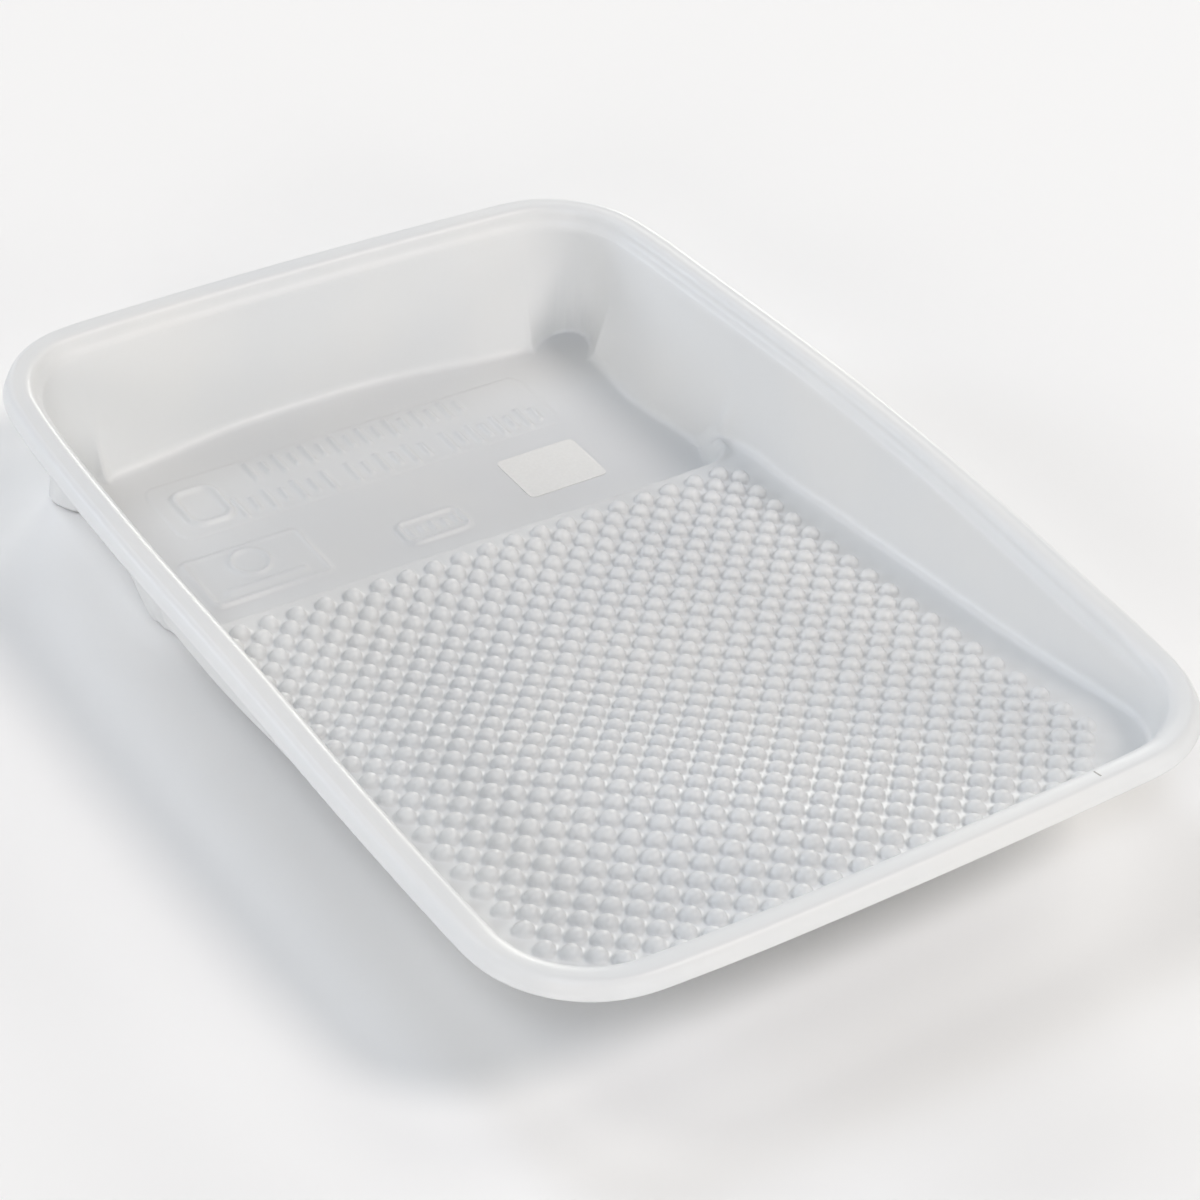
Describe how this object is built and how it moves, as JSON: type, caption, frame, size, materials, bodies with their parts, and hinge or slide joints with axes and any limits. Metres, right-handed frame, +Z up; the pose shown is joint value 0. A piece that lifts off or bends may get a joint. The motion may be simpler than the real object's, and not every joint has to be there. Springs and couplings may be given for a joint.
{
  "type": "paint tray liner",
  "caption": "Disposable formed-plastic paint tray liner: a deep well, a sloping roll-off ramp and a rolled rim, with a blank adhesive label on the floor of the well.",
  "frame": {"origin": "middle of the plan, on the plane that the well's underside stands on", "axes": "+X across the liner, +Y along it towards the deep end, +Z up through the open top"},
  "size_m": [0.295, 0.414, 0.061],
  "materials": {
    "liner_sheet": "satin, slightly translucent white",
    "label_paper": "matt coated paper"
  },
  "bodies": {
    "root": {"tray_liner": "liner_sheet", "label": "label_paper"}
  },
  "joints": []
}
